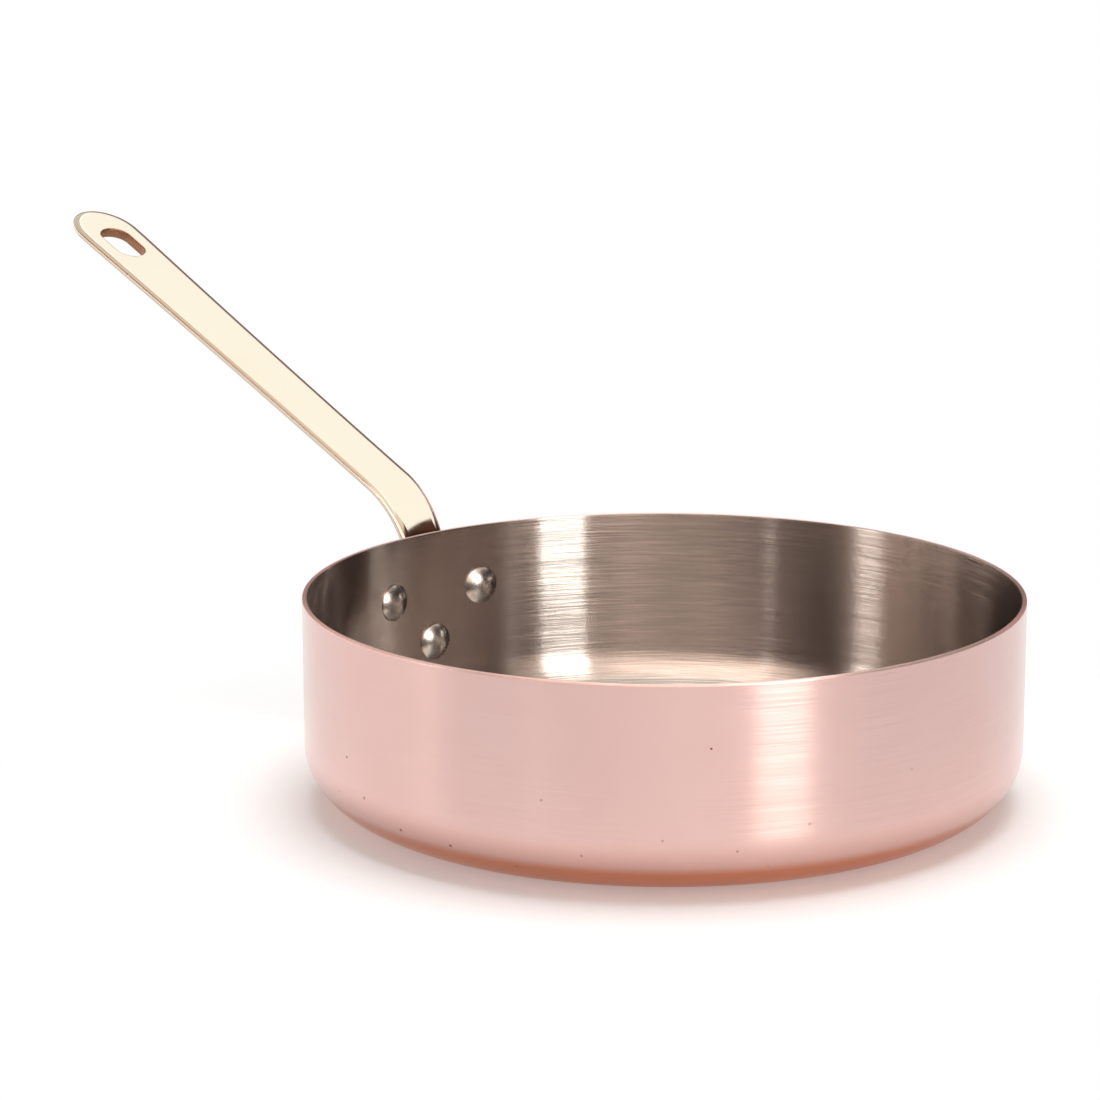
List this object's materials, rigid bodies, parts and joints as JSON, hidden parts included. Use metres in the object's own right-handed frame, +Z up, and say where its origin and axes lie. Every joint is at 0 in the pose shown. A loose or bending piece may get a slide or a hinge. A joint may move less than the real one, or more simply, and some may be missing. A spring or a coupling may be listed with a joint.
{
  "type": "saute pan",
  "caption": "Shallow round saute pan with straight walls, a steel-lined copper body and a long flat brass handle riveted to the wall, ending in a hanging slot.",
  "frame": {"origin": "centre of the base's flat underside, on the pan's axis", "axes": "+Z up along the pan's axis, out of its mouth; -X towards the handle's tip; +Y is on the left of someone who holds the handle and faces the pan"},
  "size_m": [0.4474, 0.24, 0.1638],
  "materials": {
    "copper": "polished copper with fine turned lines",
    "lining_steel": "brushed round the axis",
    "brass": "polished",
    "rivet_steel": "polished"
  },
  "bodies": {
    "root": {"copper_body": "copper", "steel_lining": "lining_steel", "handle": "brass", "rivet_upper_left": "rivet_steel", "rivet_upper_right": "rivet_steel", "rivet_lower": "rivet_steel"}
  },
  "joints": []
}
